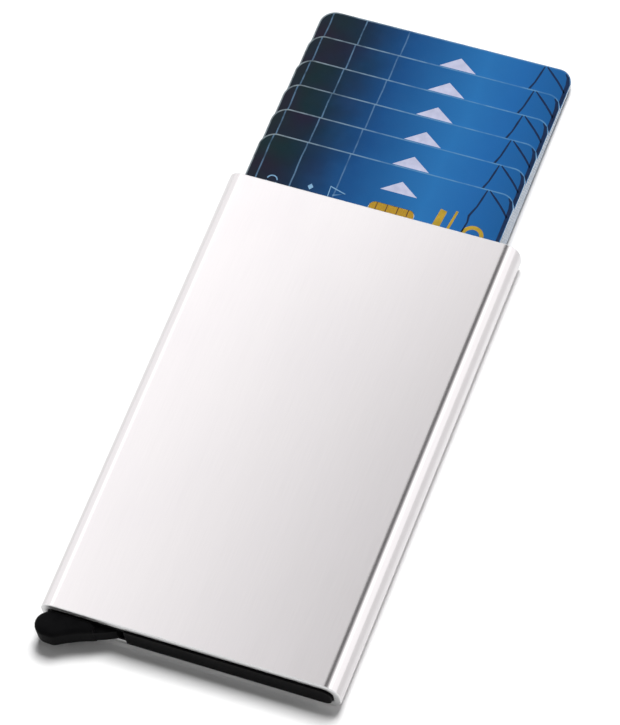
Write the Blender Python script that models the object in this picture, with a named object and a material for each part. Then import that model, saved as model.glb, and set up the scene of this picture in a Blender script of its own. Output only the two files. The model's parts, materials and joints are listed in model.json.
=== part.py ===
"""Slim aluminium card wallet with a corner lever that fans its six cards out of the mouth.

The case is a flat extruded tube, open at both ends. A black moulded base plugs the lower end and
carries a stepped lever on a steel pin; the lever's thumb piece sticks out at the lower left corner.
Pressing the thumb piece sideways swings the arm, whose six steps lift six cards by six different
heights. Two rails guide the cards and a bowed steel strip on the right rail holds them by friction.

Every length is in metres. Inside the script, x runs across the case, y runs from its lower end
towards its mouth and z from its back face to its front face. The parent empty then moves the lower
end half a case length down, so that the origin is the centre of the back face.
"""

import math

import bmesh
import bpy
from mathutils import Matrix, Vector

MM = 0.001

# Case: an extruded tube with rounded long edges
CASE_WIDTH = 61.5 * MM
CASE_LENGTH = 99.4 * MM
CASE_THICKNESS = 8.0 * MM
WALL = 1.5 * MM
CASE_EDGE_RADIUS = 3.1 * MM
CAVITY_EDGE_RADIUS = 1.8 * MM
TUBE_END_CHAMFER = 0.25 * MM

CAVITY_WIDTH = CASE_WIDTH - 2 * WALL
CAVITY_THICKNESS = CASE_THICKNESS - 2 * WALL
MID_Z = CASE_THICKNESS / 2

# Cards: the standard bank card, six of them, fanned by equal steps, the front card out the least
CARD_WIDTH = 53.98 * MM
CARD_LENGTH = 85.6 * MM
CARD_THICKNESS = 0.76 * MM
CARD_CORNER_RADIUS = 3.18 * MM
CARD_COUNT = 6
CARD_PITCH = 0.80 * MM
CARD_SHIFT_X = -0.79 * MM
FAN_STEP = 6.47 * MM
FRONT_CARD_BOTTOM_Y = 25.2 * MM

CHIP_WIDTH = 9.4 * MM
CHIP_LENGTH = 10.8 * MM
CHIP_CORNER_RADIUS = 1.2 * MM
CHIP_THICKNESS = 0.18 * MM
CHIP_POCKET_DEPTH = 0.22 * MM
CHIP_SINK = 0.01 * MM
CHIP_CLEARANCE = 0.1 * MM
CHIP_SHIFT_X = 4.0 * MM
CHIP_BELOW_TOP = 9.0 * MM

STACK_THICKNESS = (CARD_COUNT - 1) * CARD_PITCH + CARD_THICKNESS
STACK_LOW_Z = MID_Z - STACK_THICKNESS / 2

# Lever: pivot, stepped arm and thumb piece
PIVOT = Vector((-17.5 * MM, 3.2 * MM))
PIN_RADIUS = 1.0 * MM
PIN_HALF_LENGTH = 2.3 * MM
PIN_CHAMFER = 0.15 * MM
LEVER_BORE_RADIUS = 1.06 * MM
EAR_BORE_RADIUS = 1.03 * MM
HUB_RADIUS = 2.75 * MM
HUB_HALF_HEIGHT = 1.5 * MM
SPRING_SHELF_Z = MID_Z + 0.2 * MM
SPRING_SLEEVE_RADIUS = 1.5 * MM
SPRING_ROOM_RADIUS = 3.0 * MM
ARM_REST_ANGLE = math.radians(8.5)
ARM_LENGTH = 44.8 * MM
ARM_STEP = 5.33 * MM
ARM_ROOT_RADIUS = 2.6 * MM
ARM_ROOT_STEP = 0.05 * MM
ARM_TIP_RADIUS = 1.2 * MM
ARM_LOW_Z = STACK_LOW_Z + 0.04 * MM
STEP_CLEARANCE = 0.02 * MM
EAR_CLEARANCE_RADIUS = 4.4 * MM

THUMB_GAP = 0.35 * MM
THUMB_HALF_HEIGHT = 2.55 * MM
THUMB_ROUNDING = 1.05 * MM
THUMB_ROUNDING_STEPS = 5
NOSE_RADIUS = 2.5 * MM
NOSE_X = -28.1 * MM
NOSE_END_ANGLE = math.radians(262)
HEEL_FROM_NOSE = Vector((1.2 * MM, -0.35 * MM))
HEEL_RADIUS = 2.2 * MM
HEEL_END_ANGLE = math.radians(298)

# Corners of the thumb piece and of the web behind it, from the pivot
EAR_SIDE_RADIUS = 4.45 * MM
EAR_SIDE_END_ANGLE = math.radians(-109)
SCOOP_CONTROL = (-4.9 * MM, -6.35 * MM)
SCOOP_END = (-1.45 * MM, -5.3 * MM)
NECK_CORNERS = (
    (-2.7 * MM, 0.0),
    (-3.4 * MM, -3.6 * MM),
    (-3.4 * MM, -5.0 * MM),
    (-1.9 * MM, -5.2 * MM),
    (-1.0 * MM, -5.05 * MM),
    (0.5 * MM, -4.5 * MM),
    (2.6 * MM, -3.5 * MM),
    (3.2 * MM, -1.4 * MM),
    (0.0, 1.0 * MM),
)

# Base: a moulded plug in the lower end, closed over the lever's hub by a cover
BASE_CLEARANCE_X = 0.2 * MM
BASE_CLEARANCE_Z = 0.1 * MM
BASE_EDGE_RADIUS = 1.7 * MM
BASE_LIP = 0.5 * MM
BAR_TOP_Y = 0.9 * MM
BAR_START_X = -13.2 * MM
CORNER_BLOCK_X = -21.6 * MM
CORNER_BLOCK_TOP_Y = 12.5 * MM
END_BLOCK_X = 24.0 * MM
END_BLOCK_TOP_Y = 7.4 * MM
EAR_RADIUS = 4.1 * MM
EAR_END_ANGLE = math.radians(106)
EAR_THICKNESS = 0.8 * MM
COVER_GAP = 0.1 * MM
PEG_RADIUS = 0.75 * MM
PEG_HOLE_RADIUS = 0.85 * MM
PEG_LENGTH = 1.2 * MM
PEG_X = -25.3 * MM
PEG_YS = (2.6 * MM, 10.0 * MM)

# Return spring round the pivot
WIRE_RADIUS = 0.18 * MM
COIL_RADIUS = 1.85 * MM
COIL_TURNS = 2
COIL_PITCH = 0.42 * MM
COIL_POINTS_PER_TURN = 16
COIL_LOW_Z = SPRING_SHELF_Z + 0.25 * MM
MOVING_LEG = 7.5 * MM
FIXED_LEG = 5.2 * MM
LEG_SLOT_HALF_WIDTH = 0.4 * MM

# Guide rails and the friction spring
RAIL_THICKNESS = 0.8 * MM
RAIL_HALF_HEIGHT = 1.4 * MM
RAIL_WALL_GAP = 0.3 * MM
LEFT_RAIL_START_Y = 13.2 * MM
RIGHT_RAIL_START_Y = 18.0 * MM
RAIL_END_Y = 96.0 * MM
RAIL_LEAD_IN = 2.0 * MM
HOOK_REACH = 0.95 * MM
HOOK_LIP = 0.35 * MM
HOOK_LENGTH = 4.0 * MM
HOOK_POST = 1.0 * MM
FRICTION_LOW_Y = 54.0 * MM
FRICTION_HIGH_Y = 92.0 * MM
FRICTION_FLAT = 3.0 * MM
FRICTION_BOW = 1.35 * MM
FRICTION_THICKNESS = 0.2 * MM
FRICTION_HALF_WIDTH = 1.8 * MM
FRICTION_RAIL_GAP = 0.2 * MM
FRICTION_BOW_STEPS = 24

ROUND_STEPS = 32
CORNER_STEPS = 6
CUT_MARGIN = 1.0 * MM


def clear_scene():
    for obj in list(bpy.data.objects):
        bpy.data.objects.remove(obj, do_unlink=True)


def make_material(name, colour, metallic, roughness):
    material = bpy.data.materials.new(name)
    material.use_nodes = True
    shader = material.node_tree.nodes["Principled BSDF"]
    shader.inputs["Base Color"].default_value = (*colour, 1.0)
    shader.inputs["Metallic"].default_value = metallic
    shader.inputs["Roughness"].default_value = roughness
    material.diffuse_color = (*colour, 1.0)
    return material


# ---- Outlines ----


def arc(centre, radius, start, end, steps):
    """Points on a circle from one angle to another, both ends included."""
    return [
        (
            centre[0] + radius * math.cos(start + (end - start) * i / steps),
            centre[1] + radius * math.sin(start + (end - start) * i / steps),
        )
        for i in range(steps + 1)
    ]


def circle(centre, radius, steps=ROUND_STEPS):
    return arc(centre, radius, 0, 2 * math.pi, steps)[:-1]


def rounded_rectangle(width, height, radius, centre=(0, 0), steps=CORNER_STEPS):
    points = []
    for quarter, (side_x, side_y) in enumerate(((1, 1), (-1, 1), (-1, -1), (1, -1))):
        corner = (
            centre[0] + side_x * (width / 2 - radius),
            centre[1] + side_y * (height / 2 - radius),
        )
        start = quarter * math.pi / 2
        points += arc(corner, radius, start, start + math.pi / 2, steps)
    return points


def rectangle(low, high):
    return [low, (high[0], low[1]), high, (low[0], high[1])]


def bezier(start, control, end, steps):
    """Points on a quadratic curve, both ends included."""
    points = []
    for i in range(steps + 1):
        t = i / steps
        weights = ((1 - t) ** 2, 2 * t * (1 - t), t**2)
        points.append(
            tuple(
                sum(w * p[axis] for w, p in zip(weights, (start, control, end)))
                for axis in range(2)
            )
        )
    return points


def tapered_bar(centre, angle, length, root_radius, tip_radius, steps=8):
    """The outline round two circles, the first at centre and the second along angle."""
    lean = math.asin((root_radius - tip_radius) / length)
    tip = (centre[0] + length * math.cos(angle), centre[1] + length * math.sin(angle))
    left, right = angle + math.pi / 2 - lean, angle - math.pi / 2 + lean
    return arc(tip, tip_radius, right, left, steps) + arc(
        centre, root_radius, left, right + 2 * math.pi, steps
    )


# ---- Solids ----


def prism(outline, low_z, high_z):
    """A bmesh of a counter-clockwise outline in x and y, extruded from low_z to high_z."""
    bm = bmesh.new()
    floor = bm.faces.new([bm.verts.new((x, y, low_z)) for x, y in outline])
    raised = bmesh.ops.extrude_face_region(bm, geom=[floor])
    lifted = [item for item in raised["geom"] if isinstance(item, bmesh.types.BMVert)]
    bmesh.ops.translate(bm, verts=lifted, vec=(0, 0, high_z - low_z))
    bmesh.ops.recalc_face_normals(bm, faces=bm.faces)
    return bm


def long_prism(profile, low_y, high_y):
    """A bmesh of a profile in x and z, extruded along y."""
    bm = prism(profile, -high_y, -low_y)
    bm.transform(Matrix.Rotation(math.pi / 2, 4, "X"))
    return bm


def make_object(name, bm, material, parent, location=(0, 0, 0)):
    mesh = bpy.data.meshes.new(name)
    bm.to_mesh(mesh)
    bm.free()
    mesh.materials.append(material)
    mesh.shade_smooth()
    mesh.set_sharp_from_angle(angle=math.radians(35))
    obj = bpy.data.objects.new(name, mesh)
    obj.location = location
    obj.parent = parent
    bpy.context.scene.collection.objects.link(obj)
    return obj


def join_in(obj, operation, label, bm):
    """Adds, cuts or keeps the shape of bm, given in obj's own coordinates, with a Boolean."""
    mesh = bpy.data.meshes.new(f"{obj.name}_{label}")
    bm.to_mesh(mesh)
    bm.free()
    tool = bpy.data.objects.new(mesh.name, mesh)
    tool.parent = obj
    tool.hide_render = True
    tool.display_type = "WIRE"
    bpy.context.scene.collection.objects.link(tool)
    modifier = obj.modifiers.new(label, "BOOLEAN")
    modifier.operation = operation
    modifier.solver = "EXACT"
    modifier.object = tool


def around_pivot(radius):
    return circle((0, 0), radius)


# ---- Case ----


def case_profile(width, thickness, radius, inset=0.0):
    return rounded_rectangle(
        width - 2 * inset, thickness - 2 * inset, radius - inset, (0, MID_Z)
    )


def make_case_sleeve(parent, material):
    """Eight rings of points, each joined to the next, go down the outside and back up the inside."""
    outer = (CASE_WIDTH, CASE_THICKNESS, CASE_EDGE_RADIUS)
    inner = (CAVITY_WIDTH, CAVITY_THICKNESS, CAVITY_EDGE_RADIUS)
    chamfer = TUBE_END_CHAMFER
    rings = (
        (outer, chamfer, 0.0),
        (outer, 0.0, chamfer),
        (outer, 0.0, CASE_LENGTH - chamfer),
        (outer, chamfer, CASE_LENGTH),
        (inner, -chamfer, CASE_LENGTH),
        (inner, 0.0, CASE_LENGTH - chamfer),
        (inner, 0.0, chamfer),
        (inner, -chamfer, 0.0),
    )
    bm = bmesh.new()
    loops = [
        [bm.verts.new((x, y, z)) for x, z in case_profile(*size, inset)]
        for size, inset, y in rings
    ]
    for loop, following in zip(loops, loops[1:] + loops[:1]):
        for i, corner in enumerate(loop):
            bm.faces.new((corner, loop[i - 1], following[i - 1], following[i]))
    bmesh.ops.recalc_face_normals(bm, faces=bm.faces)
    return make_object("case_sleeve", bm, material, parent)


# ---- Base ----


def base_plug():
    """The shape of the cavity less its clearances, over the whole height of the base."""
    profile = rounded_rectangle(
        CAVITY_WIDTH - 2 * BASE_CLEARANCE_X,
        CAVITY_THICKNESS - 2 * BASE_CLEARANCE_Z,
        BASE_EDGE_RADIUS,
        (0, MID_Z),
    )
    return long_prism(profile, -BASE_LIP, CORNER_BLOCK_TOP_Y)


def ear_edge():
    """The round edge of an ear, from the top of the bar to the edge of the corner block."""
    start = math.asin((BAR_TOP_Y - PIVOT.y) / EAR_RADIUS)
    return arc(PIVOT, EAR_RADIUS, start, EAR_END_ANGLE, 16)


def corner_top():
    """From the ear over the corner block to its far top corner."""
    ear_top_y = PIVOT.y + EAR_RADIUS * math.sin(EAR_END_ANGLE)
    return [
        (CORNER_BLOCK_X, ear_top_y),
        (CORNER_BLOCK_X, CORNER_BLOCK_TOP_Y),
        (-CASE_WIDTH / 2, CORNER_BLOCK_TOP_Y),
    ]


def make_base_frame(parent, material):
    right = CASE_WIDTH / 2
    outline = [
        (-right, 0.0),
        (BAR_START_X, 0.0),
        (BAR_START_X, -CUT_MARGIN),
        (right, -CUT_MARGIN),
        (right, END_BLOCK_TOP_Y),
        (END_BLOCK_X, END_BLOCK_TOP_Y),
        (END_BLOCK_X, BAR_TOP_Y),
    ]
    frame = make_object("base_frame", base_plug(), material, parent)
    low_z, high_z = -CUT_MARGIN, CASE_THICKNESS + CUT_MARGIN
    join_in(
        frame, "INTERSECT", "outline", prism(outline + ear_edge() + corner_top(), low_z, high_z)
    )
    ear_top_z = MID_Z - CAVITY_THICKNESS / 2 + BASE_CLEARANCE_Z + EAR_THICKNESS
    cover_low_z = 2 * MID_Z - ear_top_z
    lever_room = rectangle((CORNER_BLOCK_X, -CUT_MARGIN), (BAR_START_X, CORNER_BLOCK_TOP_Y))
    join_in(frame, "DIFFERENCE", "lever_room", prism(lever_room, ear_top_z, high_z))
    cover_room = rectangle(
        (-right, -CUT_MARGIN), (CORNER_BLOCK_X + CUT_MARGIN, 2 * CORNER_BLOCK_TOP_Y)
    )
    join_in(
        frame, "DIFFERENCE", "cover_room", prism(cover_room, cover_low_z - COVER_GAP, high_z)
    )
    join_in(
        frame, "DIFFERENCE", "pin_hole", prism(circle(PIVOT, EAR_BORE_RADIUS), low_z, MID_Z)
    )
    leg_y = PIVOT.y + COIL_RADIUS
    leg_slot = rectangle(
        (PIVOT.x - FIXED_LEG - LEG_SLOT_HALF_WIDTH, leg_y - LEG_SLOT_HALF_WIDTH),
        (CORNER_BLOCK_X + CUT_MARGIN, leg_y + LEG_SLOT_HALF_WIDTH),
    )
    leg_slot_z = COIL_LOW_Z + COIL_TURNS * COIL_PITCH - 2 * LEG_SLOT_HALF_WIDTH
    join_in(frame, "DIFFERENCE", "leg_slot", prism(leg_slot, leg_slot_z, high_z))
    for i, peg_y in enumerate(PEG_YS):
        hole = circle((PEG_X, peg_y), PEG_HOLE_RADIUS, 16)
        hole_low_z = cover_low_z - PEG_LENGTH - COVER_GAP
        join_in(frame, "DIFFERENCE", f"peg_hole_{i + 1}", prism(hole, hole_low_z, high_z))
    return frame


def make_base_cover(parent, material):
    """The plate over the hub and the corner block, with two pegs that press into the block."""
    cover_low_z = MID_Z + CAVITY_THICKNESS / 2 - BASE_CLEARANCE_Z - EAR_THICKNESS
    outline = [(-CASE_WIDTH / 2, 0.0), (BAR_START_X - COVER_GAP, 0.0)]
    outline += [(BAR_START_X - COVER_GAP, BAR_TOP_Y)] + ear_edge() + corner_top()
    cover = make_object("base_cover", base_plug(), material, parent)
    join_in(
        cover, "INTERSECT", "outline", prism(outline, cover_low_z, CASE_THICKNESS + CUT_MARGIN)
    )
    pin_hole = prism(circle(PIVOT, EAR_BORE_RADIUS), MID_Z, CASE_THICKNESS + CUT_MARGIN)
    join_in(cover, "DIFFERENCE", "pin_hole", pin_hole)
    for i, peg_y in enumerate(PEG_YS):
        peg = circle((PEG_X, peg_y), PEG_RADIUS, 16)
        peg_top_z = cover_low_z + EAR_THICKNESS / 2
        join_in(
            cover, "UNION", f"peg_{i + 1}", prism(peg, cover_low_z - PEG_LENGTH, peg_top_z)
        )
    return cover


# ---- Lever, in coordinates with the pivot at x = y = 0 ----


def thumb_outline():
    """The part outside the case: a round nose, a lower edge that rises towards the hub, and an
    upper edge that follows the case's end and then the round ears of the base.
    """
    top_y = -THUMB_GAP - PIVOT.y
    nose = Vector((NOSE_X - PIVOT.x, top_y - NOSE_RADIUS))
    points = arc(nose, NOSE_RADIUS, math.pi / 2, NOSE_END_ANGLE, 10)
    points += arc(nose + HEEL_FROM_NOSE, HEEL_RADIUS, NOSE_END_ANGLE, HEEL_END_ANGLE, 3)
    points += bezier(points[-1], SCOOP_CONTROL, SCOOP_END, 8)[1:]
    ear_side_start_angle = -math.pi - math.asin(top_y / EAR_SIDE_RADIUS)
    return points + arc((0, 0), EAR_SIDE_RADIUS, EAR_SIDE_END_ANGLE, ear_side_start_angle, 3)


def rounded_thumb():
    """The thumb piece, with its front and back edges rounded where a finger meets them."""
    bm = prism(thumb_outline(), MID_Z - THUMB_HALF_HEIGHT, MID_Z + THUMB_HALF_HEIGHT)
    straight_edge_y = -THUMB_GAP - PIVOT.y - 0.1 * NOSE_RADIUS
    rim = [
        edge
        for edge in bm.edges
        if edge.verts[0].co.z == edge.verts[1].co.z
        and min(v.co.y for v in edge.verts) < straight_edge_y
        and min(v.co.xy.length for v in edge.verts) > EAR_SIDE_RADIUS + COVER_GAP
    ]
    bmesh.ops.bevel(
        bm,
        geom=rim,
        offset=THUMB_ROUNDING,
        segments=THUMB_ROUNDING_STEPS,
        profile=0.5,
        affect="EDGES",
    )
    return bm


def make_trigger_lever(parent, material):
    """The longest and lowest arm is the first solid; the shorter, higher steps join onto it.

    The neck, a web between the hub and the thumb piece, passes through the gap in the base.
    """
    arms = []
    for step in range(CARD_COUNT):
        root_radius = ARM_ROOT_RADIUS - step * ARM_ROOT_STEP
        length = ARM_LENGTH - step * ARM_STEP
        top_z = STACK_LOW_Z + step * CARD_PITCH + CARD_THICKNESS - STEP_CLEARANCE
        bar = tapered_bar((0, 0), ARM_REST_ANGLE, length, root_radius, ARM_TIP_RADIUS)
        arms.append(prism(bar, ARM_LOW_Z, top_z))
    lever = make_object("trigger_lever", arms[0], material, parent, (*PIVOT, 0.0))
    for step, bm in enumerate(arms[1:]):
        join_in(lever, "UNION", f"step_{step + 2}", bm)
    hub_low_z, hub_high_z = MID_Z - HUB_HALF_HEIGHT, MID_Z + HUB_HALF_HEIGHT
    join_in(lever, "UNION", "neck", prism(NECK_CORNERS, hub_low_z, hub_high_z))
    ear_room = around_pivot(EAR_CLEARANCE_RADIUS)
    join_in(lever, "DIFFERENCE", "back_ear_room", prism(ear_room, -CUT_MARGIN, hub_low_z))
    join_in(
        lever,
        "DIFFERENCE",
        "front_ear_room",
        prism(ear_room, hub_high_z, CASE_THICKNESS + CUT_MARGIN),
    )
    join_in(lever, "UNION", "thumb_piece", rounded_thumb())
    spring_room = prism(around_pivot(SPRING_ROOM_RADIUS), SPRING_SHELF_Z, hub_high_z + CUT_MARGIN)
    join_in(lever, "DIFFERENCE", "spring_room", spring_room)
    join_in(lever, "UNION", "hub", prism(around_pivot(HUB_RADIUS), hub_low_z, SPRING_SHELF_Z))
    sleeve = prism(around_pivot(SPRING_SLEEVE_RADIUS), MID_Z - CUT_MARGIN, hub_high_z)
    join_in(lever, "UNION", "spring_sleeve", sleeve)
    bore = prism(around_pivot(LEVER_BORE_RADIUS), -CUT_MARGIN, CASE_THICKNESS + CUT_MARGIN)
    join_in(lever, "DIFFERENCE", "bore", bore)
    join_in(lever, "DIFFERENCE", "leg_groove", leg_groove())
    return lever


def leg_groove():
    """A blind groove along the arm that takes the moving leg of the return spring."""
    start, end = SPRING_ROOM_RADIUS / 2, MOVING_LEG + CUT_MARGIN
    low, high = COIL_RADIUS - LEG_SLOT_HALF_WIDTH, COIL_RADIUS + LEG_SLOT_HALF_WIDTH
    top_z = SPRING_SHELF_Z + 2 * LEG_SLOT_HALF_WIDTH
    bm = prism(rectangle((start, low), (end, high)), SPRING_SHELF_Z, top_z)
    bm.transform(Matrix.Rotation(ARM_REST_ANGLE, 4, "Z"))
    return bm


def make_pivot_pin(parent, material):
    bm = prism(around_pivot(PIN_RADIUS), -PIN_HALF_LENGTH, PIN_HALF_LENGTH)
    rim = [edge for edge in bm.edges if edge.verts[0].co.z == edge.verts[1].co.z]
    bmesh.ops.bevel(bm, geom=rim, offset=PIN_CHAMFER, segments=1, profile=0.5, affect="EDGES")
    return make_object("pivot_pin", bm, material, parent, (*PIVOT, MID_Z))


def make_lever_spring(parent, material):
    """Two turns round the lever's sleeve, one leg in the arm's groove and one in the base."""
    start = ARM_REST_ANGLE + math.pi / 2
    turned = 2 * math.pi * COIL_TURNS - ARM_REST_ANGLE
    count = COIL_TURNS * COIL_POINTS_PER_TURN
    points = []
    for i in range(count + 1):
        angle = start + turned * i / count
        height = COIL_LOW_Z + COIL_TURNS * COIL_PITCH * i / count
        points.append((COIL_RADIUS * math.cos(angle), COIL_RADIUS * math.sin(angle), height))
    first, last = Vector(points[0]), Vector(points[-1])
    along_arm = Vector((math.cos(ARM_REST_ANGLE), math.sin(ARM_REST_ANGLE), 0))
    points = [tuple(first + along_arm * MOVING_LEG)] + points
    points.append(tuple(last - Vector((FIXED_LEG, 0, 0))))
    curve = bpy.data.curves.new("lever_spring", "CURVE")
    curve.dimensions = "3D"
    curve.bevel_depth = WIRE_RADIUS
    curve.bevel_resolution = 1
    curve.use_fill_caps = True
    spline = curve.splines.new("POLY")
    spline.points.add(len(points) - 1)
    for point, place in zip(spline.points, points):
        point.co = (*place, 1.0)
    curve.materials.append(material)
    spring = bpy.data.objects.new("lever_spring", curve)
    spring.location = (*PIVOT, 0.0)
    spring.parent = parent
    bpy.context.scene.collection.objects.link(spring)
    return spring


# ---- Rails and friction spring ----


def rail_faces():
    """x of the right rail's wall side and of its card side."""
    wall_side = CAVITY_WIDTH / 2 - RAIL_WALL_GAP
    return wall_side, wall_side - RAIL_THICKNESS


def rail_outline(start_y):
    """A right-hand rail, with a slanted lead-in at the mouth."""
    wall_side, card_side = rail_faces()
    return [
        (card_side, start_y),
        (wall_side, start_y),
        (wall_side, RAIL_END_Y),
        (wall_side - RAIL_THICKNESS / 2, RAIL_END_Y),
        (card_side, RAIL_END_Y - RAIL_LEAD_IN),
    ]


def hook_outline(post_y, direction):
    """An L-shaped hook that holds one end of the friction spring against the right rail."""
    card_side = rail_faces()[1]
    lip = card_side - HOOK_REACH
    points = [
        (card_side + RAIL_THICKNESS / 2, post_y),
        (lip, post_y),
        (lip, post_y + direction * (HOOK_POST + HOOK_LENGTH)),
        (lip + HOOK_LIP, post_y + direction * (HOOK_POST + HOOK_LENGTH)),
        (lip + HOOK_LIP, post_y + direction * HOOK_POST),
        (card_side + RAIL_THICKNESS / 2, post_y + direction * HOOK_POST),
    ]
    return points if direction < 0 else points[::-1]


def make_rails(parent, material):
    low_z, high_z = MID_Z - RAIL_HALF_HEIGHT, MID_Z + RAIL_HALF_HEIGHT
    mirrored = [(-x, y) for x, y in reversed(rail_outline(LEFT_RAIL_START_Y))]
    make_object("guide_rail_left", prism(mirrored, low_z, high_z), material, parent)
    right_bm = prism(rail_outline(RIGHT_RAIL_START_Y), low_z, high_z)
    right = make_object("guide_rail_right", right_bm, material, parent)
    ends = (
        ("low_hook", FRICTION_LOW_Y - HOOK_POST - FRICTION_RAIL_GAP, 1),
        ("high_hook", FRICTION_HIGH_Y + HOOK_POST + FRICTION_RAIL_GAP, -1),
    )
    for label, post_y, direction in ends:
        join_in(right, "UNION", label, prism(hook_outline(post_y, direction), low_z, high_z))


def make_friction_spring(parent, material):
    """A steel strip with flat ends, bowed towards the cards between them."""
    flat_x = rail_faces()[1] - FRICTION_RAIL_GAP
    bow_low, bow_high = FRICTION_LOW_Y + FRICTION_FLAT, FRICTION_HIGH_Y - FRICTION_FLAT
    wall_side = [(flat_x, FRICTION_LOW_Y)]
    for i in range(FRICTION_BOW_STEPS + 1):
        share = i / FRICTION_BOW_STEPS
        bow = FRICTION_BOW * (1 - math.cos(2 * math.pi * share)) / 2
        wall_side.append((flat_x - bow, bow_low + share * (bow_high - bow_low)))
    wall_side.append((flat_x, FRICTION_HIGH_Y))
    card_side = [(x - FRICTION_THICKNESS, y) for x, y in reversed(wall_side)]
    bm = prism(
        wall_side + card_side, MID_Z - FRICTION_HALF_WIDTH, MID_Z + FRICTION_HALF_WIDTH
    )
    return make_object("friction_spring", bm, material, parent)


# ---- Cards ----


def make_cards(parent, card_material, chip_material):
    """Card 1 is the front one. Each card's origin is the middle of its lower edge, at its back."""
    card_outline = rounded_rectangle(
        CARD_WIDTH, CARD_LENGTH, CARD_CORNER_RADIUS, (0, CARD_LENGTH / 2), 8
    )
    chip_centre = (CHIP_SHIFT_X, CARD_LENGTH - CHIP_BELOW_TOP - CHIP_LENGTH / 2)
    chip_outline = rounded_rectangle(CHIP_WIDTH, CHIP_LENGTH, CHIP_CORNER_RADIUS, chip_centre)
    pocket_outline = rounded_rectangle(
        CHIP_WIDTH + 2 * CHIP_CLEARANCE,
        CHIP_LENGTH + 2 * CHIP_CLEARANCE,
        CHIP_CORNER_RADIUS + CHIP_CLEARANCE,
        chip_centre,
    )
    pocket_low_z = CARD_THICKNESS - CHIP_POCKET_DEPTH
    chip_high_z = CARD_THICKNESS - CHIP_SINK
    for number in range(1, CARD_COUNT + 1):
        place = (
            CARD_SHIFT_X,
            FRONT_CARD_BOTTOM_Y + (number - 1) * FAN_STEP,
            STACK_LOW_Z + (CARD_COUNT - number) * CARD_PITCH,
        )
        card_bm = prism(card_outline, 0.0, CARD_THICKNESS)
        card = make_object(f"card_{number}", card_bm, card_material, parent, place)
        pocket = prism(pocket_outline, pocket_low_z, CARD_THICKNESS + CUT_MARGIN)
        join_in(card, "DIFFERENCE", "chip_pocket", pocket)
        chip_bm = prism(chip_outline, chip_high_z - CHIP_THICKNESS, chip_high_z)
        make_object(f"chip_{number}", chip_bm, chip_material, card)


def main():
    clear_scene()
    aluminium = make_material("satin_aluminium", (0.86, 0.86, 0.87), 1.0, 0.38)
    black_plastic = make_material("black_plastic", (0.012, 0.012, 0.013), 0.0, 0.45)
    steel = make_material("steel", (0.55, 0.55, 0.57), 1.0, 0.3)
    card_print = make_material("card_print", (0.03, 0.14, 0.40), 0.0, 0.35)
    gold = make_material("gold_contact", (0.85, 0.60, 0.12), 1.0, 0.3)

    wallet = bpy.data.objects.new("wallet", None)
    wallet.location = (0.0, -CASE_LENGTH / 2, 0.0)
    bpy.context.scene.collection.objects.link(wallet)

    make_case_sleeve(wallet, aluminium)
    make_base_frame(wallet, black_plastic)
    make_base_cover(wallet, black_plastic)
    make_trigger_lever(wallet, black_plastic)
    make_pivot_pin(wallet, steel)
    make_lever_spring(wallet, steel)
    make_rails(wallet, black_plastic)
    make_friction_spring(wallet, steel)
    make_cards(wallet, card_print, gold)


main()
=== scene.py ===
"""Looks of the slim card wallet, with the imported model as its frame.

Most visible pieces are built here and stand for the frame's nodes. The pin and the friction strip are
the frame's own nodes with a material.

Lengths are in metres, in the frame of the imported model: the case lies on its back, x runs across it,
y towards the mouth and z out of its front face. Materials are procedural and read object coordinates,
which are the same as the frame's because every piece keeps its origin at the frame's.
"""

import json
import math

import bmesh
import bpy
from mathutils import Matrix, Vector


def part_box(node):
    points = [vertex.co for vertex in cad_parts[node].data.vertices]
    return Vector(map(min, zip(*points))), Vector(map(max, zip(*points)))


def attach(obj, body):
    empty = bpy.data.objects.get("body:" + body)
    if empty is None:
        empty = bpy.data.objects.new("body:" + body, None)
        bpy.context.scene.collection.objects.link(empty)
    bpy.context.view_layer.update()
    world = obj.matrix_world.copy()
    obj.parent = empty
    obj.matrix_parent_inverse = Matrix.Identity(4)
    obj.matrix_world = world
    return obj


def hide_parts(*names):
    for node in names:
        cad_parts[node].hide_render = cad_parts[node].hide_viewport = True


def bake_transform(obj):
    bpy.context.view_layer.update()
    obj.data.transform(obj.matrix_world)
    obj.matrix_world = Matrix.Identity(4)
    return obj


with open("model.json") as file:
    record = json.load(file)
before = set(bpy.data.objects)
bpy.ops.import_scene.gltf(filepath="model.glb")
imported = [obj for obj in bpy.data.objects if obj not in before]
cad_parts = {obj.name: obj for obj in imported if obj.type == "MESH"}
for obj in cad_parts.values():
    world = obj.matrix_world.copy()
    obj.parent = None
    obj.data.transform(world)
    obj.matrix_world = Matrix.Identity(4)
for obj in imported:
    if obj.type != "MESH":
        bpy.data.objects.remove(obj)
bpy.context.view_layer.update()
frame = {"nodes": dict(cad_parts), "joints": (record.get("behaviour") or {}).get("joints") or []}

MM = 0.001
UP = Vector((0, 0, 1))

# Camera
CAMERA_TARGET = Vector((-0.753, 15.727, 4.0)) * MM
CAMERA_AZIMUTH = math.radians(34.954)
CAMERA_ELEVATION = math.radians(60.462)
CAMERA_ROLL = math.radians(-15.764)
CAMERA_DISTANCE = 948.1 * MM
CAMERA_LENS = 242.25

# Case
WALL = 1.5 * MM
CASE_EDGE_RADIUS = 3.1 * MM
CAVITY_EDGE_RADIUS = 1.8 * MM
LIP_ROUNDING = 0.22 * MM
LIP_STEPS = 3
PROFILE_STEPS = 20

# Case finish: where the smoother long edges and the painted shade on the sides set in, in millimetres
# from the middle, and the share of the tone that the sides keep under that painted shade
POLISH_START = 27.6
POLISH_END = 28.5
PAINTED_SHADE_START = 29.8
PAINTED_SHADE_END = 30.6
PAINTED_SIDE_SHADE = 0.87

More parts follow.
